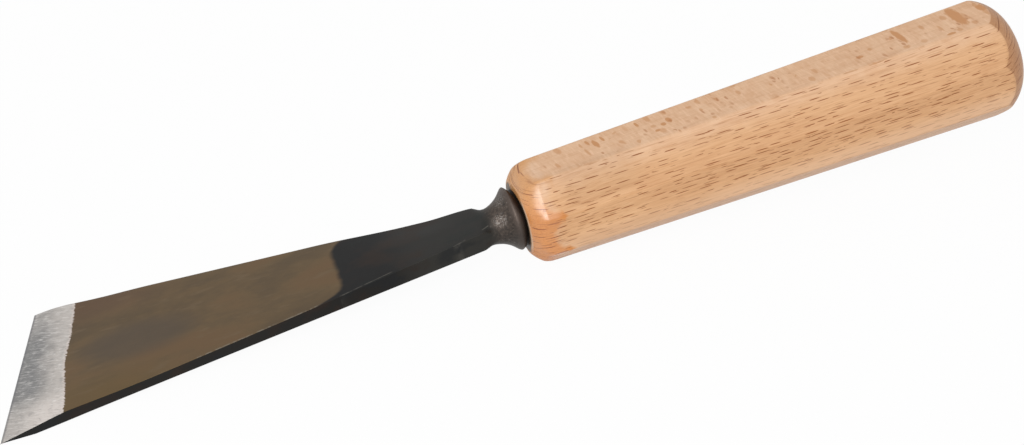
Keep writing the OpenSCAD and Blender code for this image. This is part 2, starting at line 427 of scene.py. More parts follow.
def handle_rings(s):
    """Rings of the handle, from the crown along the flats and round the front end into the groove and the
    socket. Outside, a ring's radius is the smaller of two: the octagon's, half the flats over the cosine of
    the angle from the flat's middle, with an arc round each corner, and the turned profile's, whose ends are
    circular arcs. On the side of the cut the octagon falls towards the front end by a slope and a parabola,
    and the rings of the front end move back by the square of a cosine. Inside, the radius is a circle's in
    the groove and a square's in the socket, half its width over the larger of sine and cosine."""
    front_r, front_ring, front_rise, front_reach = front_arc(s)
    butt_r = s.butt_flats / 2 / math.cos(EIGHTH) + s.turned_over
    shoulder_r = butt_r - s.butt_round
    shoulder_x = s.length - s.crown + math.sqrt((s.crown - s.butt_round) ** 2 - shoulder_r ** 2)
    crown_angle = math.asin(shoulder_r / (s.crown - s.butt_round))

    on_crown = np.linspace(CROWN_START, 1, CROWN_RINGS) * crown_angle
    on_butt = np.linspace(math.pi / 2 - crown_angle, 0, BUTT_RINGS)[1:]
    on_flats = np.linspace(shoulder_x, front_reach, FLAT_RINGS)[1:]
    on_front = np.linspace(math.pi / 2, front_rise + LIP / s.front_round, FRONT_RINGS)[1:]
    front_x = front_reach - s.front_round * np.cos(on_front)
    front_turned = front_ring + s.front_round * np.sin(on_front)
    # the lip is a quadratic curve over the corner between the rounding and the flat end
    over = np.linspace(0, 1, LIP_RINGS)[1:]
    lip_x = (1 - over) ** 2 * front_x[-1]
    lip_turned = ((1 - over) ** 2 * front_turned[-1] + 2 * over * (1 - over) * s.front_end
                  + over ** 2 * (s.front_end - LIP))
    x = np.concatenate([
        s.length - s.crown + s.crown * np.cos(on_crown),
        shoulder_x + s.butt_round * np.sin(on_butt),
        on_flats, front_x, lip_x, [0]])
    turned = np.concatenate([
        s.crown * np.sin(on_crown),
        shoulder_r + s.butt_round * np.cos(on_butt),
        np.linspace(butt_r, front_r, FLAT_RINGS)[1:],
        front_turned, lip_turned, [s.groove_outer]])

    # angles crowd towards the corners, where the surface bends
    share = (np.arange(FACET_POINTS) + 0.5) / (FACET_POINTS / 2) - 1
    on_facet = EIGHTH * (1.5 * share - 0.5 * share ** 3)
    angle = (np.arange(8)[:, None] * 2 * EIGHTH + on_facet).ravel()
    from_middle = np.abs(np.tile(on_facet, 8))
    half = (s.front_flats + (s.butt_flats - s.front_flats) * x / s.length)[:, None] / 2
    inner = half - s.edge_round
    from_corner = EIGHTH - from_middle
    to_arc = inner / math.cos(EIGHTH)
    arc = to_arc * np.cos(from_corner) + np.sqrt(
        np.maximum(s.edge_round ** 2 - (to_arc * np.sin(from_corner)) ** 2, 0))
    at_corner = from_middle > np.arctan(inner * math.tan(EIGHTH) / half)
    octagon = np.where(at_corner, arc, half / np.cos(from_middle))

    # the side of the cut
    around = math.pi / 2 - angle
    cut_side = facing(around, CUT_AT)
    front_blend = FRONT_BLEND * (FRONT_BLEND_LEAST + (1 - FRONT_BLEND_LEAST) * cut_side)
    blend = BUTT_BLEND + (front_blend - BUTT_BLEND) * ease(x, FRONT_BLEND_TO, FRONT_BLEND_FROM)[:, None]
    before = FALL_FROM - FALL_TURN * np.sin(around - CUT_AT) - x[:, None]
    before = (before + np.sqrt(before ** 2 + FALL_SOFT ** 2)) / 2
    fall = FALL_SLOPE * before + before ** 2 / 2 / FALL_RADIUS
    fall = fall + FALL_ROUND * (octagon - half) * ease(before, 0, FALL_LENGTH)
    outside = smooth_min(octagon - fall * cut_side ** 2, turned[:, None], blend)
    cut = CUT_BACK * cut_side * ease(x, CUT_REACH, 0)[:, None]

    # groove for the ferrule and socket for the tang
    square = 1 / np.maximum(np.abs(np.sin(angle)), np.abs(np.cos(angle)))
    inside_x = np.array([s.groove_depth, s.groove_depth, 0, 0, s.socket_depth])
    inside = np.stack([
        np.full_like(angle, s.groove_outer), np.full_like(angle, s.groove_inner),
        np.full_like(angle, s.groove_inner), square * s.socket_mouth / 2, square * s.socket_end / 2])
    radius = np.concatenate([outside, inside])
    x = np.concatenate([x[:, None] + cut, np.broadcast_to(inside_x[:, None], inside.shape)])
    return np.stack([x, radius * np.sin(angle), radius * np.cos(angle)], -1)


def section_loop():
    """Points round a section, first the upper half from the near side to the far side and then the lower half
    mirrored: the corner of an inner rectangle from -1 to 1, the direction of the rounding there, and the
    angle of the same point on a round section."""
    side = np.linspace(SIDE_START, 1, SIDE_POINTS)
    turn = np.linspace(0, math.pi / 2, CORNER_POINTS + 2)[1:-1]
    top = np.sin(np.linspace(-1, 1, TOP_POINTS) * TOP_CROWD) / math.sin(TOP_CROWD)
    end = np.ones(SIDE_POINTS + CORNER_POINTS)
    across = np.concatenate([-end, top, end])
    up = np.concatenate([side, np.ones(TOP_POINTS + 2 * CORNER_POINTS), side[::-1]])
    beside, over = np.ones(SIDE_POINTS), np.ones(TOP_POINTS)
    round_across = np.concatenate([-beside, -np.cos(turn), 0 * over, np.cos(turn[::-1]), beside])
    round_up = np.concatenate([0 * beside, np.sin(turn), over, np.sin(turn[::-1]), 0 * beside])
    half = len(across)
    angle = math.pi * (1 - (np.arange(half) + 0.5) / half)
    across, round_across = (np.concatenate([v, v[::-1]]) for v in (across, round_across))
    up, round_up, angle = (np.concatenate([v, -v[::-1]]) for v in (up, round_up, angle))
    return across, up, round_across, round_up, angle


def grind_line(y):
    """Where the bevel ends on the upper face, as x over y in the tool frame: a parabola with a slow wave on
    it, as a hand-ground bevel leaves."""
    mm = y / MM
    wave = GRIND_WAVE * np.cos(2 * math.pi * (mm - WAVE_START) / WAVE_LENGTH)
    return MM * (GRIND_AT + GRIND_TILT * mm + GRIND_BOW * mm ** 2 + wave)


def plate_rings(s, loop):
    """Rings of the fishtail plate. A straight line runs from each point of the cutting edge to a point across
    the neck, and a ring takes the same share of all these lines, so that the rings turn from the skew of the
    edge to square at the neck. One ring lies on the grind line. Over the plan, the upper face is a parabola
    along the length that falls along the bevel to the edge, and the back is flat with a small bevel of its
    own."""
    across, up, round_across, round_up, _ = loop
    reach = (s.length - s.neck_at) / math.cos(s.back_rise)
    flank = (s.width - s.neck_width) / 2 / reach
    heel_y = s.width / 2 * (1 - flank * math.tan(s.skew)) / (1 + flank * math.tan(s.skew))
    point = np.array([-reach, -s.width / 2])
    heel = np.array([-reach + (heel_y + s.width / 2) * math.tan(s.skew), heel_y])
    neck_x = s.neck_at + ROUND_FROM
    neck_half = s.neck_width / 2 - flank * neck_x

    on_bevel = ease(np.linspace(0, 1, BEVEL_RINGS), 0, 1)[:, None]
    on_face = np.linspace(0, 1, FACE_RINGS)[1:, None]
    on_face = (1 - FACE_CROWD) * on_face + FACE_CROWD * on_face ** FACE_POWER
    rows = len(on_bevel) + len(on_face)
    share = np.concatenate([on_bevel * GRIND_SHARE, GRIND_SHARE + (1 - GRIND_SHARE) * on_face])
    half_width = s.width / 2 + (neck_half - s.width / 2) * share
    rounding = BEVEL_ROUND + (FLANK_ROUND - BEVEL_ROUND) * ease(share, *ROUNDING_IN)
    side = across * (1 - rounding / half_width) + round_across * rounding / half_width

    edge = point[:, None, None] + (heel - point)[:, None, None] * (side + 1) / 2
    neck = np.stack([np.full((rows, len(across)), neck_x), side * neck_half])
    at_grind = np.full((rows, len(across)), GRIND_SHARE)
    for _ in range(GRIND_ROUNDS):
        line_y = edge[1] + at_grind * (neck[1] - edge[1])
        at_grind = ((grind_line(line_y) + s.neck_at) / math.cos(s.back_rise) - edge[0]) / (neck[0] - edge[0])
    along = np.concatenate([
        on_bevel * at_grind[:BEVEL_RINGS], at_grind[BEVEL_RINGS:] + (1 - at_grind[BEVEL_RINGS:]) * on_face])
    x, y = edge + along * (neck - edge)
    # the far flank bows out a little, and is pinched in close to the neck
    far = ease(side, 0, 1)
    pinch = PINCH * ease(along, *PINCH_IN) * ease(along, *PINCH_OUT) * far
    y = y + FAR_BOW * np.sin(math.pi * along) * far - pinch

    def face(at):
        part = -at / reach
        return s.neck_thick + (s.thick - s.neck_thick) * part - 4 * s.hollow * part * (1 - part)

    grind_x = edge[0] + at_grind * (neck[0] - edge[0])
    up_bevel = np.clip(along / at_grind, 0, 1)
    past_grind = along - at_grind
    bellied = up_bevel + BELLY * ease(side, *BELLY_IN) * up_bevel * (1 - up_bevel)
    upper = np.where(past_grind < 0, s.edge_height + (face(grind_x) - s.edge_height) * bellied, face(x))
    upper = upper - FACE_LEAN * side * up_bevel * ease(past_grind, LEAN_END, 0)
    upper = upper - pinch - FACE_FALL * side ** 4 * ease(past_grind, *FALL_IN) + EDGE_HALF
    from_edge = (x + reach) * math.cos(s.skew) - (y + s.width / 2) * math.sin(s.skew)
    back = np.maximum(s.edge_height * (1 - from_edge / s.back_bevel), 0) - EDGE_HALF * (up_bevel < EDGE_SHARE)
    thick = np.maximum((upper - back) / 2, LEAST_THICK)
    rounding_up = np.minimum(rounding / thick, MOST_ROUND)
    height = up * (1 - rounding_up) + round_up * rounding_up
    z = (upper + back) / 2 + height * thick
    return np.stack([
        x * math.cos(s.back_rise) + z * math.sin(s.back_rise) - s.neck_at,
        y,
        z * math.cos(s.back_rise) - x * math.sin(s.back_rise) - s.back_drop], -1)


def round_rings(x, radius, angle):
    """Circular rings about the tool's axis, whose radius varies by two slow sines, as a forging's does."""
    uneven = FORGED_OVAL * np.sin(2 * angle + 0.7) + FORGED_LOBES * np.sin(5 * angle + FORGED_DRIFT * x)
    radius = radius * (1 + uneven)
    return np.stack([np.broadcast_to(x, radius.shape), radius * np.cos(angle), radius * np.sin(angle)], -1)


def blade_rings(s):
    """Rings of the whole forging: the plate, blended into the round waist towards the neck, the bolster's
    hollow flare, a circular arc, with its rim, and the square tapered tang behind it."""
    loop = section_loop()
    across, up, round_across, round_up, angle = loop
    plate = plate_rings(s, loop)
    ring = s.waist + s.flare
    flare_end = -s.waist_at + math.sqrt(s.flare ** 2 - (ring - s.rim) ** 2)
    highest = 0.5 + 0.5 * np.cos(angle - WORN_AT)

    def flare_radius(at):
        past = np.maximum(at + s.waist_at, 0)
        hollow = ring - np.sqrt(np.maximum(s.flare ** 2 - past ** 2, 0))
        return hollow + RIM_LIFT * highest * past / (flare_end + s.waist_at)

    plate_x = plate[:, :, 0].mean(axis=1)[:, None]
    blend = ease(plate_x, PLATE_END, ROUND_FROM)[:, :, None]
    near_neck = np.minimum(plate_x, ROUND_FROM)
    plate = (1 - blend) * plate + blend * round_rings(plate_x, flare_radius(near_neck), angle)

    # the rim's back is worn away, more the further back it lies
    rim_end = SKIRT * facing(angle, SKIRT_AT) - s.rim_back
    bolster_x = ROUND_FROM + np.linspace(0, 1, BOLSTER_RINGS)[1:, None] * (rim_end - ROUND_FROM)
    over = np.clip((bolster_x - flare_end) / (rim_end - flare_end), 0, 1)
    worn = WORN_LEAST + (WORN_MOST - WORN_LEAST) * highest ** 3
    bolster_r = smooth_min(flare_radius(bolster_x), s.rim + RIM_LIFT * highest - worn * over ** 2, RIM_BLEND)
    # under the skirt the rim comes back to the ferrule's front face
    under_r = np.minimum(bolster_r[-1] - SKIRT_WALL, SKIRT_CLEAR)
    bolster_x = np.concatenate([bolster_x, np.full((2, len(angle)), -s.rim_back)])
    bolster_r = np.concatenate([bolster_r, [under_r, under_r - RIM_FACE]])
    bolster = round_rings(bolster_x, bolster_r, angle)

    tang_x = np.array([-s.rim_back, 0, s.tang_length * 0.5, s.tang_length])
    tang_half = np.interp(tang_x, [-s.rim_back, s.tang_length], [s.tang_root / 2, s.tang_tip / 2])[:, None]
    softness = TANG_ROUND / tang_half
    tang = np.stack([
        np.broadcast_to(tang_x[:, None], (len(tang_x), len(angle))),
        tang_half * (across * (1 - softness) + round_across * softness),
        tang_half * (up * (1 - softness) + round_up * softness)], -1)
    return np.concatenate([plate, bolster, tang])


def ferrule_rings(s):
    """Rings of the ferrule: a rectangle with rounded corners between its radii and its ends, carried round
    the axis."""
    corner = np.linspace(0, math.pi / 2, FERRULE_CORNER)
    turn = (corner + np.arange(4)[:, None] * math.pi / 2).ravel()
    middle_x = np.array([s.depth - s.edge, s.edge - s.proud, s.edge - s.proud, s.depth - s.edge])
    middle_r = np.array([s.outside - s.edge, s.outside - s.edge, s.inside + s.edge, s.inside + s.edge])
    x = (np.repeat(middle_x, FERRULE_CORNER) + s.edge * np.cos(turn))[:, None]
    radius = (np.repeat(middle_r, FERRULE_CORNER) + s.edge * np.sin(turn))[:, None]
    angle = np.linspace(0, 2 * math.pi, FERRULE_POINTS + 1)[:-1]
    return np.stack(np.broadcast_arrays(x, radius * np.sin(angle), radius * np.cos(angle)), -1)


# Finishes

class Wire:
    """One output in a tree of shader nodes, or none yet. Arithmetic on wires adds Math nodes."""

    def __init__(self, tree, socket=None):
        self.tree = tree
        self.socket = socket

    def node(self, kind, settings=None, sockets=None, out=0):
        """Adds a node: its settings first, then the values or wires of its sockets. Gives one output."""
        node = self.tree.nodes.new(kind)
        for name, value in (settings or {}).items():
            setattr(node, name, value)
        for name, value in (sockets or {}).items():
            if isinstance(value, Wire):
                self.tree.links.new(value.socket, node.inputs[name])
            else:
                node.inputs[name].default_value = value
        return Wire(self.tree, node.outputs[out])

    def other(self, out):
        """Another output of the same node."""
        return Wire(self.tree, self.socket.node.outputs[out])

    def math(self, operation, *values):
        """A Math node on this wire and the given values."""
        return self.node("ShaderNodeMath", {"operation": operation}, dict(enumerate([self, *values])))

    def __add__(self, other):
        return self.math("ADD", other)

    __radd__ = __add__

    def __sub__(self, other):
        return self.math("SUBTRACT", other)

    def __rsub__(self, other):
        return self.node("ShaderNodeMath", {"operation": "SUBTRACT"}, {0: other, 1: self})

    def __mul__(self, other):
        return self.math("MULTIPLY", other)

    __rmul__ = __mul__

    def __truediv__(self, other):
        return self.math("DIVIDE", other)

    def step(self, low, high):
        """Smooth step from 0 at low to 1 at high, or the reverse where low is the larger."""
        return self.node("ShaderNodeMapRange", {"interpolation_type": "SMOOTHSTEP"},
                         {"Value": self, "From Min": low, "From Max": high})

    def vector(self, operation, value, out=0):
        """A Vector Math node on this wire."""
        return self.node("ShaderNodeVectorMath", {"operation": operation}, {0: self, 1: value}, out)

    def parts(self):
        """The three components of a vector."""
        x = self.node("ShaderNodeSeparateXYZ", None, {0: self})
        return x, x.other(1), x.other(2)

    def noise(self, stretch, detail=2.0, rough=0.5):
        """Noise over this position, with the given number of features to a millimetre along each axis."""
        return self.node("ShaderNodeTexNoise", None, {
            "Vector": self.vector("MULTIPLY", stretch), "Scale": 1.0, "Detail": detail, "Roughness": rough})

    def shifted(self, stretch, detail, reach):
        """This position moved about by noise, by at most half the given reach along each axis."""
        off = self.noise(stretch, detail).other("Color").vector("SUBTRACT", (0.5, 0.5, 0.5))
        return self.vector("ADD", off.vector("MULTIPLY", reach))

    def turned(self, angle):
        """This position turned about Z."""
        return self.node("ShaderNodeMapping", None, {"Vector": self, "Rotation": (0, 0, angle)})

    def scattered(self, cell, across, spread, least, widen=None):
        """Ovals round scattered points, one to a cell of the given sizes in millimetres. Their half sizes
        along X and along the other numbered axis are random, from the least to that plus the spread, and the
        second may be widened. Gives the oval's measure of the distance and a random number that belongs to
        it."""
        scaled = self.vector("DIVIDE", cell)
        sockets = {"Vector": scaled, "Scale": 1.0}
        nearest = self.node("ShaderNodeTexVoronoi", {"feature": "F1"}, sockets, "Position")
        offset = scaled.vector("SUBTRACT", nearest).vector("MULTIPLY", cell).parts()
        longer, wider, chance = nearest.other("Color").parts()
        half_across = wider * spread[1] + least[1]
        if widen:
            half_across = half_across * widen
        return oval((offset[0], offset[across]), (longer * spread[0] + least[0], half_across)), chance

    def tint(self, factor, colour, blend="MIX"):
        """This colour mixed towards another by a factor."""
        return mixed(factor, self, colour, blend)

    def bump(self, depth):
        """A normal that follows this height, at most the given depth in metres."""
        return self.node("ShaderNodeBump", None, {"Height": self, "Strength": 1.0, "Distance": depth})


def mixed(factor, first, second, blend="MIX"):
    """A colour between two others by a factor, or the first blended with the second in the given way."""
    return factor.node("ShaderNodeMix", {"data_type": "RGBA", "blend_type": blend},
                       {MIX_FACTOR: factor, MIX_FIRST: first, MIX_SECOND: second}, MIX_RESULT)


def finish(name):
    """A new material with a Principled shader. Gives the material, its shader node and the position on the
    tool in millimetres, which is the Object position turned and moved into the tool's frame."""
    material = bpy.data.materials.new(name)
    material.use_nodes = True
    start = Wire(material.node_tree)
    turn = Matrix(TOOL_AXES.tolist())
    place = start.node("ShaderNodeTexCoord", out="Object")
    position = start.node("ShaderNodeMapping", {"vector_type": "POINT"}, {
        "Vector": place, "Scale": (1 / MM,) * 3, "Rotation": turn.to_euler(),
        "Location": -(turn @ Vector(TOOL_ORIGIN.tolist())) / MM})
    return material, material.node_tree.nodes["Principled BSDF"], position


def feed(shader, **sockets):
    """Sets or links sockets of a shader, with underscores for the spaces in their names."""
    for name, value in sockets.items():
        socket = shader.inputs[name.replace("_", " ")]
        if isinstance(value, Wire):
            value.tree.links.new(value.socket, socket)
        else:
            socket.default_value = value


def shade(values, *shares):
    """A colour with full alpha, each channel times its share where shares are given."""
    return (*(value * share for value, share in zip(values, shares or (1, 1, 1))), 1.0)


def oval(distances, halves):
    """Square of the distance from the middle of an oval, where 1 is its rim."""
    return sum((d / h) * (d / h) for d, h in zip(distances, halves))


def leaning(position, direction):
    """How far the surface leans towards a direction: the cosine between it and the true normal."""
    return position.node("ShaderNodeNewGeometry", out="True Normal").vector("DOT_PRODUCT", direction, "Value")


def stroke(position, start, end, half):
    """A thin straight stroke between two points of the face, seen from above: the distance from the nearest
    point of the line, against half the stroke's width."""
    run = np.subtract(end, start)
    away = position.vector("MULTIPLY", (1, 1, 0)).vector("SUBTRACT", (*start, 0))
    share = away.vector("DOT_PRODUCT", (*(run / (run @ run)), 0), "Value")
    share = share.math("MAXIMUM", 0).math("MINIMUM", 1)
    near = share.node("ShaderNodeVectorMath", {"operation": "SCALE"}, {0: (*run, 0), "Scale": share})
    return away.vector("DISTANCE", near, "Value").step(half, half * 0.3)


def beech_finish(s):
    """Beech under thin satin lacquer. The rays are plates along the grain and across it towards Y, so they
    show as short dark dashes on the faces that cut them and as broad flecks on the upper and lower flats,
    which lie along them."""
    material, shader, p = finish("beech_lacquered")
    x, y, z = p.parts()
    grain = p.shifted((0.012, 0.06, 0.06), 1.0, (0, 3, 3))
    raised = y * HIGH_Y + z * HIGH_Z
    nearer = z * HIGH_Y - y * HIGH_Z

    # which face of the wood shows, and where the turned ends begin
    aside, above = y.math("ABSOLUTE"), z.math("ABSOLUTE")
    half = s.front_flats / 2 / MM + x * ((s.butt_flats - s.front_flats) / 2 / s.length)
    octagon = aside.math("MAXIMUM", above).math("MAXIMUM", (aside + above) * math.sqrt(0.5))
    radius = (y * y + z * z).math("SQRT")
    _, front_ring, _, front_reach = (value / MM for value in front_arc(s))
    before = (x - front_reach).math("MINIMUM", 0)
    profile = ((s.front_round / MM) ** 2 - before * before).math("MAXIMUM", 0).math("SQRT") + front_ring
    profile = profile + (x - front_reach).math("MAXIMUM", 0) * 0.5
    ragged = p.noise((0.35, 0.35, 0.35), 3.0) - 0.5
    inside_profile = profile - half * radius / octagon
    front = (inside_profile + ragged * 1.2).step(1.65, 1.0 - raised.step(-3, 4)) * x.step(14, 10)
    gloss = inside_profile.step(2.0, 1.3) * x.step(9, 6.5) * nearer.step(3, 8)
    butt = (half - octagon).step(0.1, 0.3) * x.step(60, 100)
    turned = front.math("MAXIMUM", butt)
    straight = 1 - turned
    onto_flat = above - aside * CORNER_SLOPE + ragged * 5
    along_rays = onto_flat.step(-2.2, 2.2) * straight
    beside_rays = onto_flat.step(-16, 1) * straight

    # growth bands, fibres and the thin edges of long rays
    band = grain.noise((0.010, 0.10, 0.16), 1.5)
    fibre = grain.noise((0.11, 4.0, 4.0), 4.0, 0.7)
    plate = grain.noise((0.05, 0.12, 3.0), 2.0)
    soft = grain.noise((0.06, 0.8, 0.8), 3.0, 0.6)
    patch = grain.noise((0.30, 0.12, 0.30), 2.0)
    quartered = mixed(patch.step(0.35, 0.65), shade(s.quartered), shade(s.quartered, 0.95, 0.91, 0.88))
    dark_fibre = fibre.step(0.48, 0.68) * (0.45 - along_rays * 0.25)
    pale_fibre = fibre.step(0.5, 0.3) * (0.5 - along_rays * 0.2)
    lines = plate.step(0.6, 0.7) * (0.3 - along_rays * 0.2 + front * 0.35)
    base = mixed(band.step(0.3, 0.7), shade(s.wood), shade(s.wood, 0.93, 0.89, 0.85))
    base = base.tint(beside_rays * 0.9, quartered)
    base = base.tint(dark_fibre, shade(s.wood, 0.72, 0.54, 0.39))
    base = base.tint(pale_fibre, shade(s.wood, 1.16, 1.2, 1.25))
    base = base.tint(soft.step(0.45, 0.7) * 0.4, SOFT_BAND, "MULTIPLY")
    base = base.tint(lines, shade(s.wood, 0.55, 0.40, 0.27))

    # long and short rays, cut thinnest where the face stands square to them
    square = (aside - above * CORNER_SLOPE).step(-3, 3) * 0.5 + 1
    inside, chance = grain.scattered((7.0, 14, 1.25), 2, (1.1, 0.035), (1.3, 0.07), square)
    rays = inside.step(1.25, 0.5) * chance.step(0.0, 0.35)
    inside, chance = grain.scattered((4.4, 9, 0.8), 2, (0.8, 0.02), (0.5, 0.05), square)
    rays = rays.math("MAXIMUM", inside.step(1.3, 0.4) * chance.step(0.5, 0.8) * 0.75)
    base = base.tint(rays * (1 - along_rays * 0.85), mixed(along_rays, shade(s.ray), shade(s.fleck)))

    # flecks on the flats along the rays, leaning a little over the grain, largest towards the butt
    lean = p.vector("ADD", p.node("ShaderNodeCombineXYZ", None, {"X": y * FLECK_LEAN}))
    leant, _, _ = lean.parts()
    rough_edge = p.noise((1.6, 0.7, 0.4), 3.0) * 1.6 + 0.2
    inside, chance = lean.scattered((5.0, 5.0, 60), 1, (0.6, 1.4), (0.35, 0.6))
    flecks = (inside * rough_edge).step(1.4, 0.3) * chance.step(0.4, 0.8) * 0.65
    for middle_x, middle_y, half_x, half_y in FLECKS:
        inside = oval((leant - middle_x, y - middle_y), (half_x, half_y)) * rough_edge
        flecks = flecks.math("MAXIMUM", inside.step(1.2, 0.5) * z.step(0, 1))
    inside, chance = lean.scattered((2.2, 3.4, 60), 1, (0.3, 1.0), (0.24, 0.5))
    crowd = p.noise((0.08, 0.14, 0.14), 2.0).step(0.46, 0.58)
    small = (inside * rough_edge).step(1.5, 0.2) * chance.step(0.3, 0.9) * crowd * 0.75
    streak = lean.noise((1.6, 0.3, 0.1), 3.0, 0.6)
    base = base.tint(streak.step(0.5, 0.72) * along_rays * 0.25, shade(s.fleck))
    base = base.tint(streak.step(0.48, 0.3) * along_rays * 0.35, shade(s.quartered, 1.18, 1.22, 1.27))
    base = base.tint(flecks * along_rays * 0.92, shade(s.fleck))
    base = base.tint(small * along_rays, shade(s.fleck, 0.82, 0.72, 0.72))

    # painted light and shade: the near lower sides are painted a little paler, as lit from below, and the
    # lowest one cooler, as in shade
    lower_side_light = z.step(0, -5) * z.step(-6.5, -5.3) * y.step(0, -3)
    base = base.tint(lower_side_light * straight * 0.6, shade(s.quartered))
    lowest_shade = z.step(-5.5, -6.6) * y.step(-2, -4)
    base = base.tint(lowest_shade * straight, LOWEST_PAINTED_SHADE, "MULTIPLY")
    # painted light and shade: close to the front end one face is painted darker, and the next paler above and
    # darker below
    behind = x.step(8, 14) * straight
    forward = x.step(35, 25) * behind
    near_face = y.step(-11.3, -12.3)
    slanting = (z - y).step(15, 18) * y.step(-12.3, -11.3)
    base = base.tint(forward * slanting, SLANTING_PAINTED_SHADE, "MULTIPLY")
    base = base.tint(forward * near_face * z.step(-3.5, -1), NEAR_PAINTED_LIGHT, "MULTIPLY")
    low_part = near_face * z.step(-1.5, -3.5) * x.step(52, 40)
    base = base.tint(low_part * behind, NEAR_PAINTED_SHADE, "MULTIPLY")
    # the turned ends show end grain, the front one redder below
    front_tint = mixed(raised.step(-3, 8), FRONT_LOW, FRONT_HIGH)
    end_tint = mixed(x.step(60, 20), BUTT_END, front_tint)
    base = base.tint(turned, end_tint, "MULTIPLY")
    # painted light and shade on the flat front end: pale where the bolster leaves it in the light on the near
    # lower side, a painted shadow towards its rim on the far side, and painted shade close to the ferrule
    # below
    end_face = leaning(p, -TOOL_AXES[0]).step(0.85, 0.97) * x.step(4, 3)
    lower = raised.step(4.4, 2.2)
    base = base.tint(end_face * nearer.step(1, 6) * lower * 0.7, shade(s.quartered, 1.1, 1.25, 1.4))
    base = base.tint(end_face * nearer.step(2.2, 1.0) * radius.step(9.5, 8.8) * 0.9, END_PAINTED_SHADOW)
    base = base.tint(end_face * lower * radius.step(8.8, 8.2) * 0.92, END_PAINTED_SHADE)

    height = 0.5 + fibre * 0.12 - rays * 0.15
    lacquer = 0.1 + gloss * (1 - end_face) * (0.9 - ragged.math("ABSOLUTE") * 1.5)
    feed(shader, Base_Color=base, Roughness=fibre * 0.12 + 0.42, Normal=height.bump(GRAIN_DEPTH),
         Specular_IOR_Level=0.25, Coat_Weight=lacquer, Coat_Roughness=0.26, Coat_IOR=1.6)
    return material


